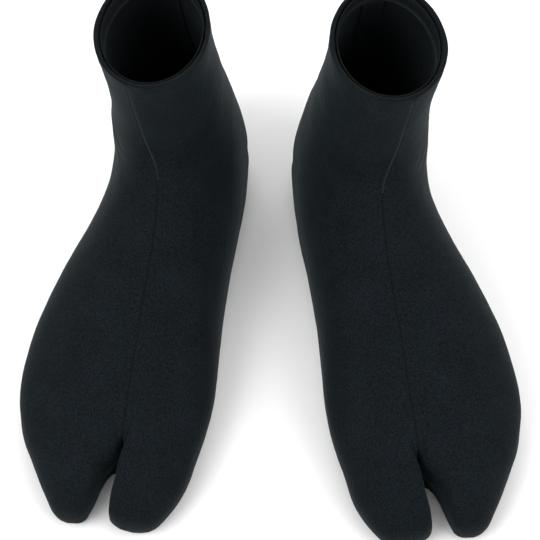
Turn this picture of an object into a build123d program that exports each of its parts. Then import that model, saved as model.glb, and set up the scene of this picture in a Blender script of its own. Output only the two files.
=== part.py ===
# A pair of split-toe neoprene boots, standing side by side. Millimetres.
# Row frame: +Z up, toes towards -Y, left boot at -X, right boot at +X, origin under the middle
# of the pair on the ground. Each boot is drawn once in its own frame: +X towards the big-toe side,
# -Y forward, heel near Y = 0. The left boot is the mirror image of the right one.
import math
import os

from build123d import *

# driving dimensions
WALL = 3.0                  # neoprene thickness
OUTSOLE = 2.0               # rubber under the foot
SOLE_TOP = OUTSOLE + WALL   # the uppers stand on the neoprene sole panel
JOINT = 0.05                # butt joint between the uppers and the sole panel
SEAM_GAP = 0.3              # butt joint between the two uppers
TREAD_DEPTH = 1.0
TREAD_PITCH = 9.0
TREAD_WIDTH = 2.0
OUTSOLE_INSET = 3.5         # the rubber stays back from the edge of the sole panel
TAPE = 0.5                  # thickness of the inside tapes
TAPE_WIDTH = 12.0
TAPE_AIR = 0.1              # air between a tape and its panel
SOLE_PANEL_INSET = 0.3      # the sole panel stays just inside the uppers
STITCH_PITCH = 1.2          # ladder stitch on the centre and heel seams
STITCH = (0.45, 1.5, 0.5)   # along the seam, across it, thread height
SOLE_STITCH_PITCH = 3.0
SOLE_STITCH = (0.5, 0.6, 2.4)

# Sections from the ball of the foot, round the ankle, to the collar. The first ones stand upright
# across the foot, the last ones lie flat across the shaft. Each row: front-top F and Z, back-bottom
# F and Z, big-toe side width, outer side width, level of the widest point, roundness above and
# below it, sideways place of the centre seam.
BODY = (
    (229, 36.6, 229, 2, 49.3, 48.8, .38, 2.2, 4.5, -9.1),
    (217, 39, 217, 2, 54.5, 50, .38, 2.2, 4.5, -8.6),
    (196, 45, 194, 2, 56, 51.5, .36, 2.2, 4.5, -7.5),
    (170, 56, 164, 2, 54, 48, .34, 2.1, 4.5, -6.8),
    (145, 69, 132, 2, 47, 45, .34, 2.05, 4.5, -7),
    (123, 82, 98, 2, 37, 44.5, .36, 2.0, 4.5, -7),
    (108, 93, 60, 2, 30.5, 44, .40, 2.0, 4.5, -6),
    (101, 101, 26, 2.5, 30, 41.5, .45, 2.0, 3.8, -4.8),
    (99, 105, 15, 4.4, 30.5, 40, .47, 2.0, 3.2, -3.7),
    (97, 109, 6, 17, 31, 39, .50, 2.0, 2.6, -2.5),
    (94, 119, .5, 46, 30.5, 35, .52, 2.0, 2.1, .3),
    (92, 130, 8, 80, 28, 32.5, .52, 2.0, 2.0, 2.2),
    (90, 144, 15, 112, 27, 31, .52, 2.0, 2.0, 3.7),
    (89, 157, 18, 144, 28, 29.5, .52, 2.0, 2.0, 4.7),
    (88.7, 164, 18.4, 162, 28.6, 29.8, .52, 2.0, 2.0, 5.1),
    (88.5, 169, 18.5, 176, 29, 30, .52, 2.0, 2.0, 5.3),
)
# Toe sections, upright: F, top Z, crown, cleft edge and outer edge of the big-toe lobe, the same of
# the four-toe lobe, height where the cleft wall starts, wall beside and above
TOES = (
    (274.5, 14, 11.5, 7.6, 15.8, -20, -12.6, -27, 4, 3.0, 8.0),
    (271.8, 18.5, 11.5, 4.6, 19.2, -20, -10.2, -32, 4, 5.2, 6.0),
    (267, 22.7, 11, 2.2, 24, -19, -8.7, -36.7, 4, 3.9, 4.2),
    (260.5, 26.5, 10.5, .6, 29, -18, -8.3, -40.5, 4, 3.3, 3.4),
    (252, 29.6, 10, -.6, 34.2, -17.5, -8.3, -43.8, 4, 3.0, 3.1),
    (245, 32.2, 8.5, -2.4, 38.6, -17.5, -9.2, -46, 4, 3.0, 3.0),
    (240.5, 33.6, 6.5, -4.6, 41.7, -17.5, -9.9, -47, 4, 3.0, 3.0),
    (237.5, 34.4, 4.5, -6.4, 43.7, -17.5, -10.2, -47.5, 7, 3.0, 3.0),
    (234.5, 35.2, 3, -8.4, 45.9, -17.5, -9.8, -47.9, 16, 3.0, 3.0),
    (231.5, 36, 3, -9.15, 48, -17.5, -9.45, -48.5, 28, 3.0, 3.0),
)
LOBE_LEVEL = .38
SHOULDER = 7.0              # width of the seam margin that turns down into the cleft
# The shaft leans: from this height up, forwards and towards the big-toe side
LEAN_FROM = 55
LEAN_FORWARD = .12
LEAN_ASIDE = .04
LEAN_EASE = 25
# Standing places of the two boots
HALF_SPACING = 62.0         # from the middle of the pair to the ankle axis
TOE_OUT = 11.0              # degrees
AXLE_F = 95                 # F of the ankle axis
RIGHT_AHEAD = 8.0           # the right boot stands this much further forward

SIDES = {"inner": 1, "outer": -1}


def dense(rows, count):
    """The same rows with smoothly blended ones between them."""
    out = []
    for i in range(len(rows) - 1):
        p0, p1, p2, p3 = (rows[min(max(i + k, 0), len(rows) - 1)] for k in (-1, 0, 1, 2))
        for j in range(count):
            t = j / count
            w = ((-t + 2 * t * t - t ** 3) / 2, (2 - 5 * t * t + 3 * t ** 3) / 2,
                 (t + 4 * t * t - 3 * t ** 3) / 2, (t ** 3 - t * t) / 2)
            out.append(tuple(sum(x * y for x, y in zip(w, column)) for column in zip(p0, p1, p2, p3)))
    return out + [rows[-1]]


def lean(height):
    t = max(height - LEAN_FROM, 0)
    return t * t / (t + LEAN_EASE)


def section_point(station, inset, angle):
    """Point of a flat section, set in by the inset. Angle 0 is the top, 90 degrees the big-toe side."""
    ft, zt, fb, zb, wm, wl, level, n_top, n_low = station[:9]
    at, ab = LEAN_ASIDE * lean(zt), LEAN_ASIDE * lean(zb)
    ft, fb = ft + LEAN_FORWARD * lean(zt), fb + LEAN_FORWARD * lean(zb)
    length = math.hypot(ft - fb, zt - zb)
    c, s = math.cos(angle), math.sin(angle)
    n = n_top if c > 0 else n_low
    low = inset * min(max((zb + 10) / 24, 0), 1)
    end = 1 - inset / length if c > 0 else low / length
    t = level + (end - level) * abs(c) ** (2 / n)
    m = (wm - inset if s > 0 else inset - wl) * abs(s) ** (2 / n)
    return Vector(m + ab + t * (at - ab), -(fb + t * (ft - fb)), zb + t * (zt - zb))


def angle_at(station, inset, m, top=True):
    """Angle where the section passes a sideways place, measured before the lean."""
    wm, wl = station[4], station[5]
    n = station[7] if top else station[8]
    width = wm - inset if m > 0 else wl - inset
    a = math.asin(min(abs(m) / width, 1) ** (n / 2))
    a = math.copysign(a, m) if m else 0.0
    return a if top else math.pi - a


def low_angle(station, inset, side):
    """Angle where the section comes down to the sole panel, or the heel seam if it stays above."""
    seam = angle_at(station, inset, side * SEAM_GAP / 2, top=False)
    lo, hi = math.pi / 2, abs(seam - math.pi * 2 * (side < 0))
    floor = SOLE_TOP + JOINT
    if section_point(station, inset, side * hi).Z >= floor:
        return side * hi
    for _ in range(40):
        mid = (lo + hi) / 2
        lo, hi = (mid, hi) if section_point(station, inset, side * mid).Z > floor else (lo, mid)
    return side * lo


def arc(station, inset, a, b, steps):
    return [section_point(station, inset, a + (b - a) * i / steps) for i in range(steps + 1)]


def curve_through(points):
    """Curve with evenly numbered points, so that neighbouring sections match."""
    last = len(points) - 1
    return Edge.make_spline(points, parameters=[i / last for i in range(last + 1)])


def outline_wire(curves):
    """Closed wire through point lists, joined end to end by straight edges."""
    edges = []
    for i, points in enumerate(curves):
        edges.append(curve_through(points))
        start = curves[(i + 1) % len(curves)][0]
        if (start - points[-1]).length > 1e-6:
            edges.append(Edge.make_line(points[-1], start))
    return Wire(edges)


def body_section(station, side):
    """Section of one upper: from the centre seam over the side to the bottom or the heel seam."""
    gap = side * SEAM_GAP / 2
    seam = station[9]
    curves = []
    for inset in (0, WALL):
        a = angle_at(station, inset, seam + gap)
        b = angle_at(station, inset, seam + gap + side * SHOULDER)
        end = low_angle(station, inset, side)
        curves.append((arc(station, inset, a, b, 8), arc(station, inset, b, end, 15)))
    (out_a, out_b), (in_a, in_b) = curves
    return outline_wire([out_a, out_b, in_b[::-1], in_a[::-1]])


def lobe_curve(row, side, wall_side, wall_top):
    """Two point lists of a toe lobe's arch: up the cleft wall to its shoulder, and over to the sole."""
    floor = SOLE_TOP + JOINT
    f, zt, start = row[0], row[1], max(row[8], floor)
    crown, near, far = row[2:5] if side > 0 else row[5:8]
    near, far, zt = near + side * wall_side, far - side * wall_side, zt - wall_top
    crown = min(max(crown, min(near, far) + .3), max(near, far) - .3)
    level = 2 + LOBE_LEVEL * (zt - 2)

    def at(width, angle, n, top):
        c, s = abs(math.cos(angle)) ** (2 / n), abs(math.sin(angle)) ** (2 / n)
        return Vector(crown + width * s, -f, level + (top - level) * c)

    if start > level:
        first = math.acos(min((start - level) / (zt - level), 1) ** 1.5)
        rise = []
    else:
        first = math.pi / 2
        rise = [Vector(near, -f, start + (level - start) * i / 3) for i in range(3)]
    mid = min(first, .9) * .75
    steps = 8 - len(rise)
    wall = rise + [at(near - crown, first + (mid - first) * i / steps, 3, zt) for i in range(steps + 1)]
    over = [at(near - crown, mid * (1 - i / 3), 3, zt) for i in range(3)]
    if level < floor:
        last = math.acos(((floor - level) / (zt - level)) ** 1.1)
        over += [at(far - crown, last * i / 12, 2.2, zt) for i in range(13)]
        return wall, over
    over += [at(far - crown, math.pi / 2 * i / 8, 2.2, zt) for i in range(9)]
    base = 3.5 if wall_side else 2
    turn = math.asin(((level - floor) / (level - base)) ** 2.25)
    over += [at(far - crown, math.pi / 2 + turn * i / 4, 4.5, base) for i in range(1, 5)]
    return wall, over


def lobe_section(row, side):
    out_a, out_b = lobe_curve(row, side, 0, 0)
    in_a, in_b = lobe_curve(row, side, row[9], row[10])
    return outline_wire([out_a, out_b, in_b[::-1], in_a[::-1]])


def upper(side):
    sections = [lobe_section(row, side) for row in dense(TOES, 2)]
    sections += [body_section(station, side) for station in dense(BODY, 3)]
    return Solid.make_loft(sections)


# Rings of the collar's inside tape, parallel to the rim
HEM = (
    (88.8, 158, 18.6, 164.5, 27.9, 29.3, .52, 2.0, 2.0),
    (88.5, 163, 18.7, 169.8, 28.3, 29.5, .52, 2.0, 2.0),
    (88.3, 168.5, 18.8, 175.5, 28.7, 29.7, .52, 2.0, 2.0),
)
HEEL_TAPE_END = (89, 157.5, 18.3, 163.4, 28.7, 29.8, .52, 2.0, 2.0)


def strip(station, a, b, steps):
    """Section of an inside tape between two angles."""
    out = arc(station, WALL + TAPE_AIR, a, b, steps)
    back = arc(station, WALL + TAPE_AIR + TAPE, a, b, steps)
    return outline_wire([out, back[::-1]])


def centre_seam_tape():
    sections = []
    for station in dense(BODY[:-2], 3):
        seam, half = station[9], TAPE_WIDTH / 2
        a, b = (angle_at(station, WALL, seam + m) for m in (-half, half))
        sections.append(strip(station, a, b, 6))
    return Solid.make_loft(sections)


def heel_seam_tape():
    sections = []
    for station in dense(BODY[9:-2] + (HEEL_TAPE_END + (5,),), 3):
        half = TAPE_WIDTH / 2
        a = angle_at(station, WALL, half, top=False)
        b = angle_at(station, WALL, -half, top=False)
        sections.append(strip(station, a, b, 6))
    return Solid.make_loft(sections)


def collar_hem_tape():
    """Ring open at the heel seam, where its two ends meet."""
    sections = []
    for station in HEM:
        end = angle_at(station, WALL, SEAM_GAP / 2, top=False)
        sections.append(strip(station, -end, end, 36))
    return Solid.make_loft(sections)


def sole_edge(side, first_toe):
    """Plan points of the foot's outline on one side, from the toe to the heel."""
    points = [lobe_curve(row, side, 0, 0)[1][-1] for row in TOES[first_toe:]]
    for station in BODY:
        if station[3] < SOLE_TOP:
            points.append(section_point(station, 0, low_angle(station, 0, side)))
    return [(p.X, p.Y) for p in points]


def cleft_edge(side, first_toe):
    return [(row[3] if side > 0 else row[6], -row[0]) for row in TOES[first_toe:-1]]


def inset_path(path, distance):
    """Moves an open plan path to its left by a distance."""
    moved = []
    for i, (x, y) in enumerate(path):
        (x0, y0), (x1, y1) = path[max(i - 1, 0)], path[min(i + 1, len(path) - 1)]
        size = math.hypot(x1 - x0, y1 - y0)
        moved.append(Vector(x - distance * (y1 - y0) / size, y + distance * (x1 - x0) / size, 0))
    return moved


def foot_plate(inset, first_toe, bottom, top):
    """Flat two-lobed plate with the outline of the foot."""
    near, far = sole_edge(1, first_toe), sole_edge(-1, first_toe)
    rim = inset_path(near + [(.5, -13.8)] + far[::-1], inset)
    inner, outer = cleft_edge(1, first_toe), cleft_edge(-1, first_toe)
    cleft = inset_path(outer + [(-9.3, -233)] + inner[::-1], inset)
    face = Face(outline_wire([rim, cleft]))
    return extrude(face.moved(Location((0, 0, bottom))), amount=top - bottom, dir=(0, 0, 1))


def outsole():
    plate = foot_plate(OUTSOLE_INSET, 2, 0, OUTSOLE)
    count = int(230 / TREAD_PITCH)
    grooves = [
        Box(140, TREAD_WIDTH, 2 * TREAD_DEPTH).moved(Location((0, -26 - TREAD_PITCH * i, 0)))
        for i in range(count)
    ]
    return plate - grooves


def long_edge(solid, start):
    """The longest edge of a panel that begins or ends at a point."""
    ends = [e for e in solid.edges() if min((e @ 0 - start).length, (e @ 1 - start).length) < .01]
    return max(ends, key=lambda e: e.length)


def walk(edge, start, pitch):
    """Points and directions along an edge, counted from the end at the start point."""
    count = int(edge.length / pitch)
    forward = (edge @ 0 - start).length < .01
    for i in range(count + 1):
        s = i * pitch / edge.length
        s = s if forward else 1 - s
        yield edge.position_at(s), edge.tangent_at(s) * (1 if forward else -1)


def bar(size, centre, along, out):
    return Box(*size).moved(Plane(origin=centre, x_dir=along, z_dir=out).location)


def seam_bars(points):
    aside = Vector(1, 0, 0)
    for centre, along in points:
        yield bar(STITCH, centre - aside * (SEAM_GAP / 2), along, aside.cross(along))


def stitching(uppers):
    """Ladder stitches of the centre and heel seams, and upright bars round the sole."""
    centre, heel, sole = [], [], []
    for side, panel in uppers.items():
        rim = BODY[-1]
        seam = section_point(rim, 0, angle_at(rim, 0, rim[9] + side * SEAM_GAP / 2))
        back = section_point(rim, 0, low_angle(rim, 0, side))
        front = list(walk(long_edge(panel, seam), seam, STITCH_PITCH))
        rear = list(walk(long_edge(panel, back), back, STITCH_PITCH))
        if side > 0:
            centre = [(p, -t) for p, t in front if p.Y > -231 and p.Z < 168]
            heel = [(p, t) for p, t in rear if p.Z > 12 and p.Z < 174]
        step = round(SOLE_STITCH_PITCH / STITCH_PITCH)
        low = [(p, t, side) for p, t in rear if p.Z < 6][::step]
        low += [(p, t, -side) for p, t in front if p.Z < 6][::step]
        sole += [item for item in low if -268 < item[0].Y < -15]
    up = Vector(0, 0, 1)
    marks = []
    for p, t, side in sole:
        out = Vector(t.Y, -t.X, 0).normalized() * side
        out = out if out.X * side > 0 else -out
        marks.append(bar(SOLE_STITCH, Vector(p.X, p.Y, SOLE_TOP), out.cross(up), out))
    return list(seam_bars(centre)), list(seam_bars(heel)), marks


def boot():
    """All pieces of one boot in its own frame."""
    uppers = {side: upper(side) for side in SIDES.values()}
    centre, heel, sole = stitching(uppers)
    return {
        "inner_upper_panel": [uppers[1]],
        "outer_upper_panel": [uppers[-1]],
        "sole_panel": [foot_plate(SOLE_PANEL_INSET, 0, OUTSOLE, SOLE_TOP)],
        "outsole": [outsole()],
        "centre_seam_tape": [centre_seam_tape()],
        "heel_seam_tape": [heel_seam_tape()],
        "collar_hem_tape": [collar_hem_tape()],
        "centre_seam_stitching": centre,
        "heel_seam_stitching": heel,
        "sole_seam_stitching": sole,
    }


def pair():
    """Both boots in the row frame, before the pair is centred."""
    nodes = {}
    for name, solids in boot().items():
        for hand in ("right", "left"):
            ahead = RIGHT_AHEAD if hand == "right" else 0
            stand = Location((HALF_SPACING, -ahead, 0), (0, 0, TOE_OUT)) * Location((0, AXLE_F, 0))
            placed = [solid.moved(stand) for solid in solids]
            if hand == "left":
                placed = [solid.mirror(Plane.YZ) for solid in placed]
            nodes[f"{hand}_{name}"] = placed
    return nodes


os.makedirs("parts", exist_ok=True)
nodes = pair()
box = Compound(children=[Compound(solids) for solids in nodes.values()]).bounding_box()
centring = Location((-(box.min.X + box.max.X) / 2, -(box.min.Y + box.max.Y) / 2, -box.min.Z))
print("size", box.size, "centring", centring.position)
for name, solids in nodes.items():
    placed = [solid.moved(centring) for solid in solids]
    shape = placed[0] if len(placed) == 1 else Compound(placed)
    export_step(shape, f"parts/{name}.step")
    print(name, len(placed), round(sum(solid.volume for solid in placed)), all(s.is_valid for s in placed))
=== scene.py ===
# Looks of a pair of split-toe neoprene boots around their CAD frame.
import math

import bmesh
import bpy
import numpy as np
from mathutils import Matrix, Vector


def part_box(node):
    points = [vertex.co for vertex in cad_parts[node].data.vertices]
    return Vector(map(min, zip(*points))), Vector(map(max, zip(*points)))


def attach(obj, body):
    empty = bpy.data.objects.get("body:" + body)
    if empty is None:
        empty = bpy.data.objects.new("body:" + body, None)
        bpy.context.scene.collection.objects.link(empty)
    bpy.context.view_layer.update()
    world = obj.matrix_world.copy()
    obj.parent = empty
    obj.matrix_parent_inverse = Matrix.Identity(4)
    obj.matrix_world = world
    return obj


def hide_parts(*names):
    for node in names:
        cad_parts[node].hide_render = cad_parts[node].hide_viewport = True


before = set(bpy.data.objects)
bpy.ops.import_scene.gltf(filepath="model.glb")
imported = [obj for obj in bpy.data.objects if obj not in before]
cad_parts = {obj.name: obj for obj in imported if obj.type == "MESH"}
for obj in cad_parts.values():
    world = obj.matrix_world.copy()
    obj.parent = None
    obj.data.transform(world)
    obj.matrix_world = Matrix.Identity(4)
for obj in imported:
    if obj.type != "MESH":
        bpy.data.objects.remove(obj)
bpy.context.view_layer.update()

MM = .001
# The boot's form in millimetres: M sideways towards the big toe, F from the heel forward, Z up. The
# rows are the same as in the CAD.
# BODY: front-top F and Z, back-bottom F and Z, big-toe side width, outer side width, level of the
# widest point, roundness above and below it, sideways place of the centre seam.
# TOES: F, top Z, crown, cleft edge and outer edge of the big-toe lobe, the same of the four-toe lobe,
# start height of the cleft wall, wall beside and above.
BODY = np.array((
    (229, 36.6, 229, 2, 49.3, 48.8, .38, 2.2, 4.5, -9.1),
    (217, 39, 217, 2, 54.5, 50, .38, 2.2, 4.5, -8.6),
    (196, 45, 194, 2, 56, 51.5, .36, 2.2, 4.5, -7.5),
    (170, 56, 164, 2, 54, 48, .34, 2.1, 4.5, -6.8),
    (145, 69, 132, 2, 47, 45, .34, 2.05, 4.5, -7),
    (123, 82, 98, 2, 37, 44.5, .36, 2.0, 4.5, -7),
    (108, 93, 60, 2, 30.5, 44, .40, 2.0, 4.5, -6),
    (101, 101, 26, 2.5, 30, 41.5, .45, 2.0, 3.8, -4.8),
    (99, 105, 15, 4.4, 30.5, 40, .47, 2.0, 3.2, -3.7),
    (97, 109, 6, 17, 31, 39, .50, 2.0, 2.6, -2.5),
    (94, 119, .5, 46, 30.5, 35, .52, 2.0, 2.1, .3),
    (92, 130, 8, 80, 28, 32.5, .52, 2.0, 2.0, 2.2),
    (90, 144, 15, 112, 27, 31, .52, 2.0, 2.0, 3.7),
    (89, 157, 18, 144, 28, 29.5, .52, 2.0, 2.0, 4.7),
    (88.7, 164, 18.4, 162, 28.6, 29.8, .52, 2.0, 2.0, 5.1),
    (88.5, 169, 18.5, 176, 29, 30, .52, 2.0, 2.0, 5.3),
))
TOES = np.array((
    (274.5, 14, 11.5, 7.6, 15.8, -20, -12.6, -27, 4, 3.0, 8.0),
    (271.8, 18.5, 11.5, 4.6, 19.2, -20, -10.2, -32, 4, 5.2, 6.0),
    (267, 22.7, 11, 2.2, 24, -19, -8.7, -36.7, 4, 3.9, 4.2),
    (260.5, 26.5, 10.5, .6, 29, -18, -8.3, -40.5, 4, 3.3, 3.4),
    (252, 29.6, 10, -.6, 34.2, -17.5, -8.3, -43.8, 4, 3.0, 3.1),
    (245, 32.2, 8.5, -2.4, 38.6, -17.5, -9.2, -46, 4, 3.0, 3.0),
    (240.5, 33.6, 6.5, -4.6, 41.7, -17.5, -9.9, -47, 4, 3.0, 3.0),
    (237.5, 34.4, 4.5, -6.4, 43.7, -17.5, -10.2, -47.5, 7, 3.0, 3.0),
    (234.5, 35.2, 3, -8.4, 45.9, -17.5, -9.8, -47.9, 16, 3.0, 3.0),
    (231.5, 36, 3, -9.15, 48, -17.5, -9.45, -48.5, 28, 3.0, 3.0),
))
WALL = 3.0
FLOOR = 5.05                # underside of the uppers
SEAM_GAP = .06              # the stitches pull the two uppers together
SHOULDER = 7.0
LOBE_LEVEL = .38
CLEFT_M = -9.3              # sideways place of the cleft's root
LEAN_FROM, LEAN_FORWARD, LEAN_ASIDE, LEAN_EASE = 55, .12, .04, 25
HALF_SPACING, TOE_OUT, AXLE_F, RIGHT_AHEAD = 62.0, math.radians(11), 95, 8.0
STITCH_PITCH = 1.2
SOLE_STITCH_PITCH = 3.0
TAPE, TAPE_WIDTH, TAPE_AIR = .5, 12.0, .1
# mesh fineness
TOE_STEPS = 6
BODY_STEPS = 9
MARGIN_COLUMNS = 12
SIDE_COLUMNS = 66
TIP_ROWS = 12
TIP_START = 2               # the rounded toe end replaces this many of the first toe rows
TIP_LENGTH = 7.0
TOE_TRIM = {1: 1.8, -1: 3.2}        # how much shorter the toes end than in the CAD, by side
# the collar's rounded edge: shares of the way from the outer face to the inner one, and heights
RIM = ((.1, .35), (.28, .6), (.5, .7), (.72, .6), (.9, .35))
THIN_FROM, THIN_OVER, THIN_BY = 160, 16, .35    # the wall gets thinner towards the collar


def dense(rows, count):
    """The same rows with smoothly blended ones between them."""
    out = []
    last = len(rows) - 1
    for i in range(last):
        p0, p1, p2, p3 = (rows[min(max(i + k, 0), last)] for k in (-1, 0, 1, 2))
        for j in range(count):
            t = j / count
            out.append((-t + 2 * t * t - t ** 3) / 2 * p0 + (2 - 5 * t * t + 3 * t ** 3) / 2 * p1
                       + (t + 4 * t * t - 3 * t ** 3) / 2 * p2 + (t ** 3 - t * t) / 2 * p3)
    return np.array(out + [rows[last]])


def lean(height):
    """How far the shaft leans at a height, as a share that grows smoothly from LEAN_FROM."""
    t = np.maximum(height - LEAN_FROM, 0)
    return t * t / (t + LEAN_EASE)


def section_points(row, inset, angle):
    """Points (M, F, Z) of one flat section. Angle 0 is the top, 90 degrees the big-toe side."""
    ft, zt, fb, zb, wm, wl, level, n_top, n_low = row[:9]
    at, ab = LEAN_ASIDE * lean(zt), LEAN_ASIDE * lean(zb)
    ft, fb = ft + LEAN_FORWARD * lean(zt), fb + LEAN_FORWARD * lean(zb)
    length = math.hypot(ft - fb, zt - zb)
    c, s = np.cos(angle), np.sin(angle)
    n = np.where(c > 0, n_top, n_low)
    low = inset * min(max((zb + 10) / 24, 0), 1)
    end = np.where(c > 0, 1 - inset / length, low / length)
    t = level + (end - level) * np.abs(c) ** (2 / n)
    m = np.where(s > 0, wm - inset, inset - wl) * np.abs(s) ** (2 / n)
    return np.stack([m + ab + t * (at - ab), fb + t * (ft - fb), zb + t * (zt - zb)], -1)


def angle_at(row, inset, m, top=True):
    """Angle where a section is at the sideways place m, on its top or its underside."""
    width = (row[4] if m > 0 else row[5]) - inset
    a = math.copysign(math.asin(min(abs(m) / width, 1) ** (row[7 if top else 8] / 2)), m)
    return a if top else math.pi - a


def low_angle(row, inset, side):
    """Angle where the section comes down to the sole panel, or the heel seam above it."""
    seam = angle_at(row, inset, side * SEAM_GAP / 2, top=False)
    lo, hi = math.pi / 2, seam if side > 0 else 2 * math.pi - seam
    if section_points(row, inset, np.array(side * hi))[2] >= FLOOR:
        return side * hi
    for _ in range(40):
        mid = (lo + hi) / 2
        above = section_points(row, inset, np.array(side * mid))[2] > FLOOR
        lo, hi = (mid, hi) if above else (lo, mid)
    return side * lo


MARGIN = (np.arange(MARGIN_COLUMNS) / MARGIN_COLUMNS) ** 1.5
REST = np.linspace(0, 1, SIDE_COLUMNS + 1)


def body_row(row, side, inset):
    """One section of an upper from the centre seam down to its lower edge."""
    gap = side * SEAM_GAP / 2
    a = angle_at(row, inset, row[9] + gap)
    b = angle_at(row, inset, row[9] + gap + side * SHOULDER)
    end = low_angle(row, inset, side)
    angles = np.concatenate([a + (b - a) * MARGIN, b + (end - b) * REST])
    return section_points(row, inset, angles)


def lengths_along(path):
    step = np.linalg.norm(np.diff(path, axis=0), axis=1)
    return np.concatenate([[0], np.cumsum(step)])


def points_at(path, at, places):
    return np.stack([np.interp(places, at, path[:, k]) for k in range(3)], -1)


def resample(path, shares):
    """Points at shares of a path's length."""
    at = lengths_along(path)
    return points_at(path, at / at[-1], shares)


def smooth_step(t):
    t = np.clip(t, 0, 1)
    return t * t * (3 - 2 * t)


def lobe_row(row, side, inset):
    """One section of a toe lobe: up the cleft wall, over the top and down to the sole."""
    f, zt, start = row[0], row[1], max(row[8], FLOOR)
    f -= TOE_TRIM[side] * smooth_step((f - 245) / 28)
    crown, near, far = row[2:5] if side > 0 else row[5:8]
    wall_side, wall_top = (row[9], row[10]) if inset else (0, 0)
    near, far, zt = near + side * wall_side, far - side * wall_side, zt - wall_top
    crown = min(max(crown, min(near, far) + .3), max(near, far) - .3)
    level = 2 + LOBE_LEVEL * (zt - 2)

    def at(width, angle, n, top):
        c, s = np.abs(np.cos(angle)) ** (2 / n), np.abs(np.sin(angle)) ** (2 / n)
        return np.stack([crown + width * s, f + 0 * c, level + (top - level) * c], -1)

    quarter = math.pi / 2
    if start > level:
        first = math.acos(min((start - level) / (zt - level), 1) ** 1.5)
        rise = np.zeros((0, 3))
    else:
        first = quarter
        heights = np.linspace(start, level, 8, endpoint=False)
        rise = np.stack([near + 0 * heights, f + 0 * heights, heights], -1)
    mid = min(first, .9) * .75
    wall = np.concatenate([rise, at(near - crown, np.linspace(first, mid, 24), 3, zt)])
    over = [at(near - crown, np.linspace(mid, 0, 10, endpoint=False), 3, zt)]
    if level < FLOOR:
        last = math.acos(((FLOOR - level) / (zt - level)) ** 1.1)
        over.append(at(far - crown, np.linspace(0, last, 50), 2.2, zt))
    else:
        base = 3.5 if inset else 2
        turn = math.asin(((level - FLOOR) / (level - base)) ** 2.25)
        over.append(at(far - crown, np.linspace(0, quarter, 50), 2.2, zt))
        over.append(at(far - crown, np.linspace(quarter, quarter + turn, 16)[1:], 4.5, base))
    shares = np.append(MARGIN, 1)
    return np.concatenate([resample(wall, shares)[:-1], resample(np.concatenate(over), REST)])


def layer(side, inset):
    """Grid of one face of an upper: rows from the toe tip to the collar, columns from the seam down."""
    toes = [lobe_row(row, side, inset) for row in dense(TOES, TOE_STEPS)[TIP_START * TOE_STEPS:]]
    tip = toes[0]
    apex = np.array((TOES[0][2] if side > 0 else TOES[0][5], 0, FLOOR))
    rows = []
    for k in range(TIP_ROWS, 0, -1):
        turn = math.pi / 2 * k / TIP_ROWS
        ring = apex + (tip - apex) * math.cos(turn)
        ring[:, 1] = tip[:, 1] + (0 if inset else TIP_LENGTH) * math.sin(turn)
        rows.append(ring)
    body = [body_row(row, side, inset) for row in dense(BODY, BODY_STEPS)]
    return np.array(rows + toes + body)


def smooth_rows(grid, centre, width, passes):
    """Blends the rows near one row, away from the seam, so that a change of form there is gradual."""
    index = np.arange(len(grid))
    weight = np.exp(-((index - centre) / width) ** 2)[:, None, None] * .5
    weight = weight * smooth_step((np.arange(grid.shape[1]) - 5) / 13)[None, :, None]
    for _ in range(passes):
        mean = grid.copy()
        mean[1:-1] = (grid[:-2] + grid[2:]) / 2
        grid = grid * (1 - weight) + mean * weight
    return grid


def even_rows(grid, passes):
    """The same grid with small unevenness between its rows taken out, toe end and collar kept."""
    for _ in range(passes):
        mean = grid.copy()
        mean[TIP_ROWS:-1] = ((grid[:-2] + 2 * grid[1:-1] + grid[2:]) / 4)[TIP_ROWS - 1:]
        grid = mean
    return grid


def seam_distance(grid):
    """Length of cloth between each point and the seam, along its row."""
    step = np.linalg.norm(np.diff(grid, axis=1, prepend=grid[:, :1]), axis=-1)
    return np.cumsum(step, axis=1)


def close_cleft(grid, side):
    """Brings the two lobes together over the root of the cleft and joins them along its bottom."""
    f, z = grid[..., 1], grid[..., 2]
    middle = CLEFT_M + side * .06
    in_lobe = smooth_step((f - 229) / 3)
    over = in_lobe * smooth_step((251 - f) / 8) * smooth_step((z - 10) / 12)
    over = over * np.exp(-((grid[..., 0] - middle) / 5.5) ** 2)
    root = in_lobe * smooth_step((240.5 - f) / 2.5) * np.exp(-seam_distance(grid) / 2)
    pull = np.maximum(over * .92, root)
    grid = grid.copy()
    grid[..., 0] += (middle - grid[..., 0]) * pull
    return grid


def normals(grid, side):
    """Outward directions at the points of an upper's outer face."""
    n = np.cross(np.gradient(grid, axis=0), np.gradient(grid, axis=1)) * side
    return n / np.maximum(np.linalg.norm(n, axis=-1, keepdims=True), 1e-9)


def ripple(p, size, seed):
    """Smooth irregular waviness between about -1 and 1."""
    rng = np.random.default_rng(seed)
    total = np.zeros(p.shape[:-1])
    for _ in range(14):
        direction = rng.normal(size=3)
        direction /= np.linalg.norm(direction)
        total += np.sin(p @ direction * 2 * math.pi / (size * rng.uniform(.7, 1.5)) + rng.uniform(0, 7))
    return total / 5


# Creases: side, which two axes (0 is M, 1 is F, 2 is Z), both ends, depth, width. The first ones are
# at the ankle and the collar on the big-toe side, the others run out from the top of the cleft.
CREASES = (
    (1, (1, 2), (68, 108), (99, 98), .9, 2.2),
    (1, (1, 2), (60, 96), (98, 93), .5, 2.6),
    (1, (1, 2), (66, 160), (88, 150), .35, 1.6),
    (1, (1, 2), (70, 153), (90, 160), .3, 1.4),
    (1, (1, 2), (62, 148), (86, 143), .3, 2.0),
    (-1, (0, 1), (-10.5, 240), (-13.5, 214), .5, 1.1),
    (-1, (0, 1), (-12, 243), (-21, 222), .6, 1.5),
    (1, (0, 1), (-8, 241), (-5.5, 214), .45, 1.2),
    (1, (0, 1), (-6, 244), (2, 224), .4, 1.7),
)


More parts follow.
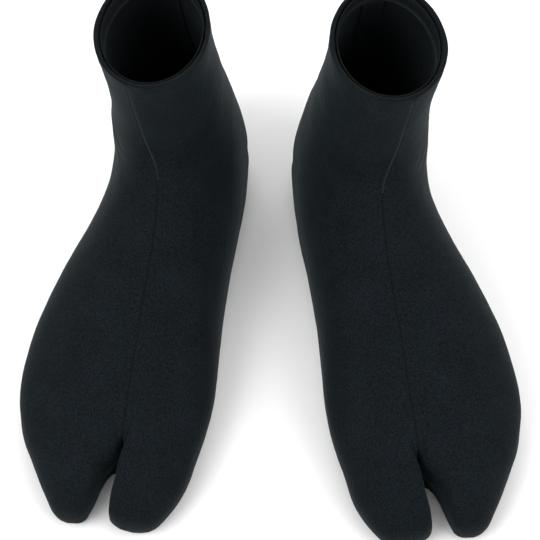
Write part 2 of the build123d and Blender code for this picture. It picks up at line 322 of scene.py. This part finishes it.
def relief(grid, side, seed):
    """How far the cloth stands proud of its plain form, in millimetres."""
    f, z = grid[..., 1], grid[..., 2]
    from_seam = seam_distance(grid)
    out = .25 * ripple(grid, 38, seed) + .07 * ripple(grid, 12, seed + 1)
    bend = np.exp(-((f - 100) / 20) ** 2 - ((z - 98) / 14) ** 2)
    out += bend * .16 * ripple(grid * (1, 1, 2), 17, seed + 2)
    # the seam: both edges roll in, more in the foot than in the shaft, and the cloth swells beside it
    foot = np.clip((120 - z) / 25, 0, 1)
    out -= (.12 + .18 * foot) * np.exp(-(from_seam / (.5 + .2 * foot)) ** 2)
    out += .14 * np.exp(-((from_seam - 1.7) / .9) ** 2) * (1 if side > 0 else foot)
    pull = np.sin(2 * math.pi * f / STITCH_PITCH / 3)
    out += .05 * foot * np.exp(-from_seam / 1.5) * pull
    for crease_side, (u, v), (u0, v0), (u1, v1), depth, width in CREASES:
        if side != crease_side:
            continue
        length = math.hypot(u1 - u0, v1 - v0)
        du, dv = (u1 - u0) / length, (v1 - v0) / length
        along = (grid[..., u] - u0) * du + (grid[..., v] - v0) * dv
        across = (grid[..., u] - u0) * dv - (grid[..., v] - v0) * du + 1.2 * np.sin(along / 8)
        fade = np.clip(along / length, 0, 1) * np.clip(1 - along / length, 0, 1) * 4
        out -= depth * fade * np.exp(-(across / width) ** 2) * (z > 20)
    # small lumps under the collar
    collar = np.exp(-((f - 82) / 9) ** 2 - ((z - 160) / 9) ** 2) * (side > 0)
    out += .28 * collar * ripple(grid, 6, seed + 3)
    # the sole joint draws the lower edge in
    out -= .35 * np.exp(-((z - FLOOR) / 1.2) ** 2) * (f > 12)
    return out


def turn_out(points, hand):
    """Sets the boot down beside the other one with its toes turned out, in metres."""
    m, f, z = points[..., 0], points[..., 1] - AXLE_F, points[..., 2]
    c, s = math.cos(TOE_OUT), math.sin(TOE_OUT)
    x = hand * (HALF_SPACING + m * c + f * s)
    y = m * s - f * c - (RIGHT_AHEAD if hand > 0 else 0)
    return np.stack([x, y, z], -1) * MM


# The row frame's origin is midway along the pair. The back of the CAD's panel gives the way to it.
SHIFT_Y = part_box("right_inner_upper_panel")[1].y - turn_out(layer(1, 0), 1)[..., 1].max()


def place(points, hand):
    """From the boot's own frame to the row frame."""
    return turn_out(points, hand) + (0, SHIFT_Y, 0)


def mesh_object(name, verts, faces):
    mesh = bpy.data.meshes.new(name)
    mesh.from_pydata([tuple(v) for v in verts], [], faces)
    mesh.validate()
    obj = bpy.data.objects.new(name, mesh)
    bpy.context.scene.collection.objects.link(obj)
    return obj


def quads(index):
    """Faces between neighbouring rows and columns of a grid of vertex numbers."""
    corners = index[:-1, :-1], index[1:, :-1], index[1:, 1:], index[:-1, 1:]
    return np.stack(corners, -1).reshape(-1, 4).tolist()


def set_cloth(obj, points):
    """Keeps each vertex's place in the boot, in millimetres, for the knit texture."""
    attribute = obj.data.attributes.new("cloth", "FLOAT_VECTOR", "POINT")
    attribute.data.foreach_set("vector", points.astype(np.float32).ravel())


def finish_mesh(obj, *materials):
    """Joins touching points, turns the faces outwards, smooths the shading, sets the materials."""
    work = bmesh.new()
    work.from_mesh(obj.data)
    bmesh.ops.remove_doubles(work, verts=work.verts, dist=1e-6)
    bmesh.ops.dissolve_degenerate(work, edges=work.edges, dist=1e-7)
    bmesh.ops.recalc_face_normals(work, faces=work.faces)
    work.to_mesh(obj.data)
    work.free()
    for material in materials:
        obj.data.materials.append(material)
    obj.data.polygons.foreach_set("use_smooth", [True] * len(obj.data.polygons))


def shell(name, front, back, hand, *materials):
    """Closed panel between two grids of the same shape. A second material is for the back."""
    rows, columns = front.shape[:2]
    points = np.concatenate([front, back])
    index = np.arange(2 * rows * columns).reshape(2, rows, columns)
    face, reverse = quads(index[0]), quads(index[1])
    edges = (index[:, 0], index[:, -1], index[:, :, 0], index[:, :, -1])
    rim = [quad for edge in edges for quad in quads(edge)]
    faces = face + reverse + rim
    obj = mesh_object(name, place(points, hand).reshape(-1, 3), faces)
    set_cloth(obj, points)
    if len(materials) > 1:
        slots = [0] * len(face) + [1] * len(reverse) + [0] * len(rim)
        obj.data.polygons.foreach_set("material_index", slots)
    finish_mesh(obj, *materials)
    return obj


def upper_faces(side, seed):
    """Outer and inner grid of one upper, joined in a rounded rim at the collar."""
    joint = TIP_ROWS + (len(TOES) - 1 - TIP_START) * TOE_STEPS
    outer = smooth_rows(even_rows(close_cleft(layer(side, 0), side), 8), joint + 1, 13, 160)
    outer = smooth_rows(outer, TIP_ROWS, 5, 30)
    inner = layer(side, WALL)
    height = inner[..., 2:] - THIN_FROM
    inner = np.where(height > 0, inner + (outer - inner) * THIN_BY * height / THIN_OVER, inner)
    outer[1:] += normals(outer, side)[1:] * relief(outer, side, seed)[1:, :, None]
    outer[0] = outer[1].mean(axis=0)        # the toe end closes in one point
    outer[..., 2] = np.maximum(outer[..., 2], FLOOR - .1)
    rise = np.array((0, 0, 1.0))
    rim = [outer[-1] * (1 - t) + inner[-1] * t + rise * h for t, h in RIM]
    front = np.concatenate([outer, rim[:3]])
    back = np.concatenate([inner, rim[:2:-1], rim[2:3]])
    return front, back, outer


def threads(name, centres, across, out, half, radius, lift, hand, *materials, above=None):
    """One short thread per stitch, arched over the seam, its ends sunk into the cloth.

    half is half a stitch's length, and lift how far its middle stands out. Stitches higher than
    above take the second material.
    """
    rng = np.random.default_rng(5 + hand + len(centres))
    verts, faces = [], []
    sides, sections = 8, 7
    across = across / np.linalg.norm(across, axis=1, keepdims=True)
    out = out / np.linalg.norm(out, axis=1, keepdims=True)
    for centre, a, o in zip(centres, across, out):
        size = half * (1 + .08 * rng.normal())
        other = np.cross(a, o)
        a = a + other * .08 * rng.normal()
        base = len(verts)
        for t in np.linspace(-1, 1, sections):
            middle = centre + a * (t * size) + o * (lift - (lift + radius) * t * t)
            for angle in np.linspace(0, 2 * math.pi, sides, endpoint=False):
                ring = other * math.cos(angle) + o * math.sin(angle)
                verts.append(middle + ring * radius * (1 - .5 * t ** 4))
        ring = base + np.arange(sections * sides).reshape(sections, sides)
        faces += quads(np.concatenate([ring, ring[:, :1]], 1))
        faces += [ring[0].tolist(), ring[-1].tolist()]
    obj = mesh_object(name, place(np.array(verts), hand), faces)
    if above is not None:
        high = np.repeat(centres[:, 2] > above, len(faces) // len(centres))
        obj.data.polygons.foreach_set("material_index", high.astype(int))
    finish_mesh(obj, *materials)
    return obj


def spaced(path, pitch):
    """Points at an even pitch along a path, and its direction there."""
    at = lengths_along(path)
    points = points_at(path, at, np.arange(pitch, at[-1] - pitch, pitch))
    return points, np.gradient(points, axis=0)


def new_material(name):
    material = bpy.data.materials.new(name)
    material.use_nodes = True
    tree = material.node_tree
    return material, tree, tree.nodes["Principled BSDF"]


def new_noise(nodes, scale, detail, roughness=.5):
    node = nodes.new("ShaderNodeTexNoise")
    node.inputs["Scale"].default_value = scale
    node.inputs["Detail"].default_value = detail
    node.inputs["Roughness"].default_value = roughness
    return node


def new_wave(nodes, direction, scale, distortion):
    node = nodes.new("ShaderNodeTexWave")
    node.bands_direction = direction
    node.inputs["Scale"].default_value = scale
    node.inputs["Distortion"].default_value = distortion
    node.inputs["Detail"].default_value = 1
    node.inputs["Detail Scale"].default_value = 2
    return node


def new_math(tree, operation, first, second, third=None):
    """A math node. Each input is a number or another node's output."""
    node = tree.nodes.new("ShaderNodeMath")
    node.operation = operation
    for socket, value in zip(node.inputs, (first, second, third)):
        if isinstance(value, (int, float)):
            socket.default_value = value
        elif value is not None:
            tree.links.new(value, socket)
    return node.outputs[0]


def new_ramp(nodes, *stops):
    """A colour ramp between two stops, each a place and a colour."""
    ramp = nodes.new("ShaderNodeValToRGB")
    for element, (place_at, colour) in zip(ramp.color_ramp.elements, stops):
        element.position = place_at
        element.color = (*colour, 1)
    return ramp


def new_bump(nodes, strength, distance):
    bump = nodes.new("ShaderNodeBump")
    bump.inputs["Strength"].default_value = strength
    bump.inputs["Distance"].default_value = distance
    return bump


def knit_material(name, dark, light, sheen):
    """Nylon jersey on neoprene: fine knitted columns, flecks, and a soft sheen."""
    material, tree, shader = new_material(name)
    nodes, links = tree.nodes, tree.links
    source = nodes.new("ShaderNodeAttribute")
    source.attribute_name = "cloth"
    fleck = new_noise(nodes, 1.1, 3, .7)
    patch = new_noise(nodes, .05, 4)
    columns = new_wave(nodes, "DIAGONAL", .2, 1.2)
    courses = new_wave(nodes, "X", .36, 1.5)
    for node in (fleck, patch, columns, courses):
        links.new(source.outputs["Vector"], node.inputs["Vector"])
    tone = new_math(tree, "MULTIPLY_ADD", patch.outputs["Fac"], .2, fleck.outputs["Fac"])
    ramp = new_ramp(nodes, (.38, dark), (.64, light))
    links.new(new_math(tree, "SUBTRACT", tone, .1), ramp.inputs["Fac"])
    links.new(ramp.outputs["Color"], shader.inputs["Base Color"])
    knit = new_math(tree, "MULTIPLY", columns.outputs["Fac"], courses.outputs["Fac"])
    height = new_math(tree, "MULTIPLY_ADD", fleck.outputs["Fac"], .6, knit)
    bump = new_bump(nodes, .4, .00018)
    links.new(height, bump.inputs["Height"])
    links.new(bump.outputs["Normal"], shader.inputs["Normal"])
    shader.inputs["Roughness"].default_value = .72
    shader.inputs["Specular IOR Level"].default_value = .05
    shader.inputs["Sheen Weight"].default_value = sheen
    shader.inputs["Sheen Roughness"].default_value = .42
    shader.inputs["Sheen Tint"].default_value = (.62, .82, .88, 1)
    return material


def plain_material(name, colour, roughness, grain, sheen=0.0):
    """One colour with a fine grain, for thread and rubber."""
    material, tree, shader = new_material(name)
    nodes, links = tree.nodes, tree.links
    shader.inputs["Roughness"].default_value = roughness
    shader.inputs["Specular IOR Level"].default_value = .15
    shader.inputs["Sheen Weight"].default_value = sheen
    coordinates = nodes.new("ShaderNodeTexCoord")
    noise = new_noise(nodes, grain, 3)
    links.new(coordinates.outputs["Object"], noise.inputs["Vector"])
    ramp = new_ramp(nodes, (0, [c * .8 for c in colour]), (1, [c * 1.3 for c in colour]))
    links.new(noise.outputs["Fac"], ramp.inputs["Fac"])
    links.new(ramp.outputs["Color"], shader.inputs["Base Color"])
    bump = new_bump(nodes, .4, .0002)
    links.new(noise.outputs["Fac"], bump.inputs["Height"])
    links.new(bump.outputs["Normal"], shader.inputs["Normal"])
    return material


# Rings of the collar's inside tape, parallel to the rim, and the upper end of the heel tape
HEM = np.array((
    (88.8, 158, 18.6, 164.5, 27.9, 29.3, .52, 2.0, 2.0),
    (88.5, 163, 18.7, 169.8, 28.3, 29.5, .52, 2.0, 2.0),
    (88.3, 168.5, 18.8, 175.5, 28.7, 29.7, .52, 2.0, 2.0),
))
HEEL_TAPE_END = (89, 157.5, 18.3, 163.4, 28.7, 29.8, .52, 2.0, 2.0, 5)


def tape_faces(stations, first, last, columns):
    """Both faces of an inside tape; first and last give its edges' angles in a section."""
    faces = []
    for inset in (WALL + TAPE_AIR, WALL + TAPE_AIR + TAPE):
        rows = [section_points(s, inset, np.linspace(first(s), last(s), columns)) for s in stations]
        faces.append(np.array(rows))
    return faces


def sole_outline(edges):
    """Plan loop of the sole from the lower edges of the two uppers, round both lobes and the cleft."""
    inner, outer = edges
    near = [grid[(grid[:, 0, 2] < FLOOR + .3), 0][2:] for grid in (inner, outer)]
    rims = [grid[(grid[:, -1, 2] < FLOOR + .6), -1] for grid in (inner, outer)]
    root = np.array([(CLEFT_M, 236, FLOOR)])
    loop = np.concatenate([rims[0], [(.5, 13.8, FLOOR)], rims[1][::-1], near[1], root, near[0][::-1]])
    keep = np.linalg.norm(loop - np.roll(loop, 1, 0), axis=1) > .3
    return loop[keep]


def sole_panel(name, loop, hand, material):
    """Neoprene sole: a plate with rounded edges under the uppers."""
    forward = np.roll(loop, -1, 0) - np.roll(loop, 1, 0)
    aside = np.stack([-forward[:, 1], forward[:, 0], 0 * forward[:, 0]], -1)
    aside /= np.linalg.norm(aside, axis=1, keepdims=True)
    area = np.sum(loop[:, 0] * np.roll(loop[:, 1], -1) - np.roll(loop[:, 0], -1) * loop[:, 1])
    aside *= np.sign(area)
    rings = []
    for inset, height in ((1.1, 2.02), (.5, 2.15), (.25, 2.7), (.2, 3.5), (.3, 4.4), (.6, 4.95)):
        ring = loop + aside * inset
        ring[:, 2] = height
        rings.append(ring)
    count = len(loop)
    index = np.arange(len(rings) * count).reshape(len(rings), count)
    faces = quads(np.concatenate([index, index[:, :1]], 1)) + [index[0].tolist(), index[-1].tolist()]
    points = np.array(rings)
    obj = mesh_object(name, place(points, hand).reshape(-1, 3), faces)
    set_cloth(obj, points)
    finish_mesh(obj, material)
    return obj


def ladder_places(outer, column, f_end, z_from, z_to):
    """Stitch places along a seam between the two uppers, with the directions across and out of it."""
    middle = (outer[1][:, column] + outer[-1][:, column]) / 2
    path = middle[(middle[:, 1] < f_end) & (middle[:, 2] > z_from) & (middle[:, 2] < z_to)]
    points, along = spaced(path, STITCH_PITCH)
    aside = np.tile((1.0, 0, 0), (len(points), 1))
    return points, aside, np.cross(along, aside)


def sole_stitch_places(outer):
    """Stitch places round the sole joint, on the outside and in the cleft, with outward directions."""
    centres, outs = [], []
    for side in (1, -1):
        for column in (-1, 0):
            edge = outer[side][:, column]
            edge = edge[(edge[:, 2] < FLOOR + .6) & (edge[:, 1] > 16) & (edge[:, 1] < 264)]
            points, along = spaced(edge, SOLE_STITCH_PITCH)
            out = np.stack([along[:, 1], -along[:, 0], 0 * along[:, 0]], -1)
            wanted = side if column else -side
            outs.append(out * np.sign(out[:, :1]) * wanted)
            centres.append(points)
    return np.concatenate(centres), np.concatenate(outs)


def add(obj, body, node):
    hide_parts(node)
    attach(obj, body)


def add_panels(prefix, hand, neoprene, lining):
    """Both uppers and the sole of one boot. Returns the uppers' outer faces."""
    body = f"{prefix}_boot"
    outer = {}
    for side, part in ((1, "inner"), (-1, "outer")):
        front, back, outer[side] = upper_faces(side, 11 * (2 + hand) + side)
        panel = shell(f"{prefix}_{part}_upper", front, back, hand, neoprene, lining)
        add(panel, body, f"{prefix}_{part}_upper_panel")
    sole = sole_panel(f"{prefix}_sole", sole_outline((outer[1], outer[-1])), hand, neoprene)
    add(sole, body, f"{prefix}_sole_panel")
    return outer


def add_tapes(prefix, hand, tape):
    """The tapes inside one boot: behind both seams and round the collar."""
    half = TAPE_WIDTH / 2
    stations = dense(BODY[:-2], 5)
    heel_stations = dense(np.array((*BODY[9:-2], HEEL_TAPE_END)), 5)
    tapes = {
        "centre_seam_tape": tape_faces(
            stations, lambda s: angle_at(s, WALL, s[9] - half),
            lambda s: angle_at(s, WALL, s[9] + half), 13),
        "heel_seam_tape": tape_faces(
            heel_stations, lambda s: angle_at(s, WALL, half, top=False),
            lambda s: angle_at(s, WALL, -half, top=False), 13),
        "collar_hem_tape": tape_faces(
            HEM, lambda s: -angle_at(s, WALL, .15, top=False),
            lambda s: angle_at(s, WALL, .15, top=False), 90),
    }
    for node, (front, back) in tapes.items():
        cloth = shell(f"{prefix}_{node}_cloth", front, back, hand, tape)
        add(cloth, f"{prefix}_boot", f"{prefix}_{node}")


def add_stitching(prefix, hand, outer, thread, painted_highlight_thread):
    """The ladders on the centre seam and the heel seam, and the stitches round the sole."""
    body = f"{prefix}_boot"
    points, aside, up = ladder_places(outer, 0, 231, 30, 168)
    up *= np.sign(up[:, 1:2] + up[:, 2:3])
    # stitches above z 96 take the lighter thread, a painted highlight on the raised stitches of the shaft
    ladder = threads(
        f"{prefix}_centre_ladder", points, aside, up, .95, .27, .12, hand, thread, painted_highlight_thread, above=96)
    add(ladder, body, f"{prefix}_centre_seam_stitching")

    points, aside, behind = ladder_places(outer, -1, 30, 12, 173)
    behind *= -np.sign(behind[:, 1:2])
    ladder = threads(f"{prefix}_heel_ladder", points, aside, behind, .95, .24, .3, hand, thread)
    add(ladder, body, f"{prefix}_heel_seam_stitching")

    centres, outs = sole_stitch_places(outer)
    upright = np.tile((0, 0, 1.0), (len(centres), 1))
    joint = threads(f"{prefix}_sole_joint", centres, upright, outs, 1.1, .2, .18, hand, thread)
    add(joint, body, f"{prefix}_sole_seam_stitching")


def build():
    neoprene = knit_material("jersey_neoprene", (.0016, .0027, .0037), (.0068, .0100, .0128), .045)
    lining = knit_material("lining_jersey", (.0025, .0032, .0040), (.0070, .0088, .0105), .04)
    tape = knit_material("seam_tape", (.0030, .0038, .0045), (.0085, .0100, .0120), .03)
    thread = plain_material("thread", (.0006, .0009, .0012), .7, 900)
    # the lighter thread is a painted highlight: its colour stands in for light caught on the raised
    # stitches above the ankle
    painted_highlight_thread = plain_material("painted_highlight_thread", (.0130, .0175, .0190), .6, 900, .05)
    rubber = plain_material("outsole_rubber", (.008, .0085, .009), .6, 500)
    for hand, prefix in ((-1, "left"), (1, "right")):
        outer = add_panels(prefix, hand, neoprene, lining)
        add_tapes(prefix, hand, tape)
        add_stitching(prefix, hand, outer, thread, painted_highlight_thread)
        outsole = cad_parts[f"{prefix}_outsole"].data
        outsole.materials.clear()
        outsole.materials.append(rubber)


def studio():
    """Pale floor, soft light and the camera."""
    scene = bpy.context.scene
    scene.view_settings.view_transform = "Standard"
    world = bpy.data.worlds.new("studio")
    world.use_nodes = True
    world.node_tree.nodes["Background"].inputs["Color"].default_value = (1, 1, 1, 1)
    world.node_tree.nodes["Background"].inputs["Strength"].default_value = .75
    scene.world = world
    floor = mesh_object("floor", [(-3, -3, 0), (3, -3, 0), (3, 3, 0), (-3, 3, 0)], [[0, 1, 2, 3]])
    material, _, shader = new_material("paper")
    shader.inputs["Base Color"].default_value = (.86, .86, .86, 1)
    shader.inputs["Roughness"].default_value = .9
    floor.data.materials.append(material)
    for name, place_at, size, power in (
        ("key", (-.9, -.5, 1.1), .9, 14),
        ("fill", (1.0, -.4, .9), 1.0, 9),
        ("back", (0, 1.1, .9), 1.2, 12),
    ):
        light = bpy.data.lights.new(name, "AREA")
        light.size = size
        light.energy = power
        lamp = bpy.data.objects.new(name, light)
        lamp.location = place_at
        lamp.rotation_euler = (Vector((0, 0, .05)) - lamp.location).to_track_quat("-Z", "Y").to_euler()
        scene.collection.objects.link(lamp)
    camera = bpy.data.cameras.new("camera")
    camera.sensor_width = 36
    camera.lens = 117.6
    camera.clip_start = .05
    eye = bpy.data.objects.new("camera", camera)
    elevation, distance = math.radians(61.1), .978
    eye.location = (0, .0115 - distance * math.cos(elevation), .04 + distance * math.sin(elevation))
    eye.rotation_euler = (math.pi / 2 - elevation, 0, 0)
    scene.collection.objects.link(eye)
    scene.camera = eye


build()
studio()
